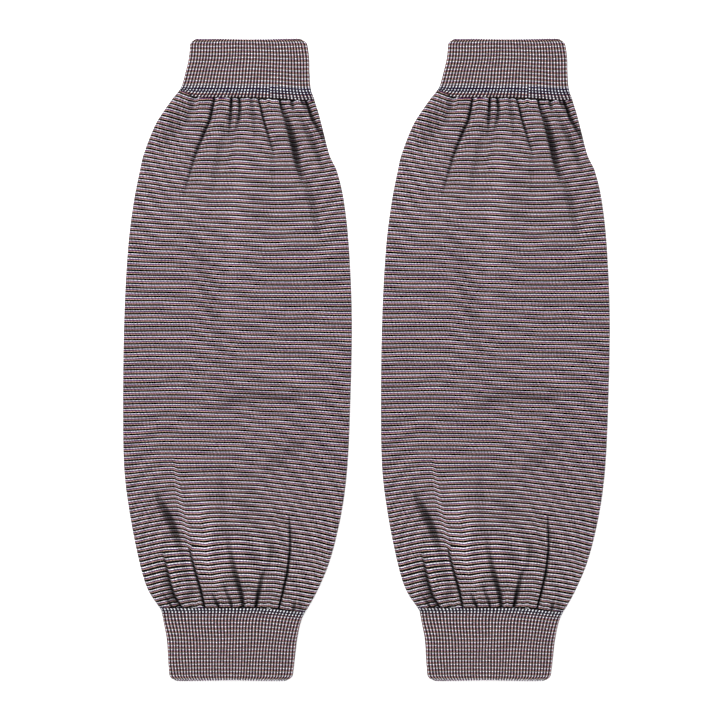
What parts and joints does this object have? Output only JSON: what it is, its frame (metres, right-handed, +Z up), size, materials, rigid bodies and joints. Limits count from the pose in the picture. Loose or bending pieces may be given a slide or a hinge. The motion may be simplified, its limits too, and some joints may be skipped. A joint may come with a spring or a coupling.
{
  "type": "pair of knitted arm sleeves",
  "caption": "Knitted tube sleeves that cover the arms, laid flat as a pair, with loose striped bodies gathered into rib cuffs.",
  "frame": {"origin": "on the surface that the sleeves lie on, at the middle of the pair's footprint", "axes": "+Z up from the surface, +Y along the sleeves towards their short cuffs, +X from the left sleeve to the right one as seen from above"},
  "size_m": [0.303, 0.4, 0.0068],
  "materials": {
    "striped_jersey": "matt fine jersey with narrow courses of black, pale lilac, plum and dusty peach",
    "striped_rib": "matt 1x1 rib in the same courses, broken into dots by the ribs"
  },
  "bodies": {
    "root": {"left_top_cuff": "striped_rib", "left_sleeve_body": "striped_jersey", "left_bottom_cuff": "striped_rib", "right_top_cuff": "striped_rib", "right_sleeve_body": "striped_jersey", "right_bottom_cuff": "striped_rib"}
  },
  "joints": []
}
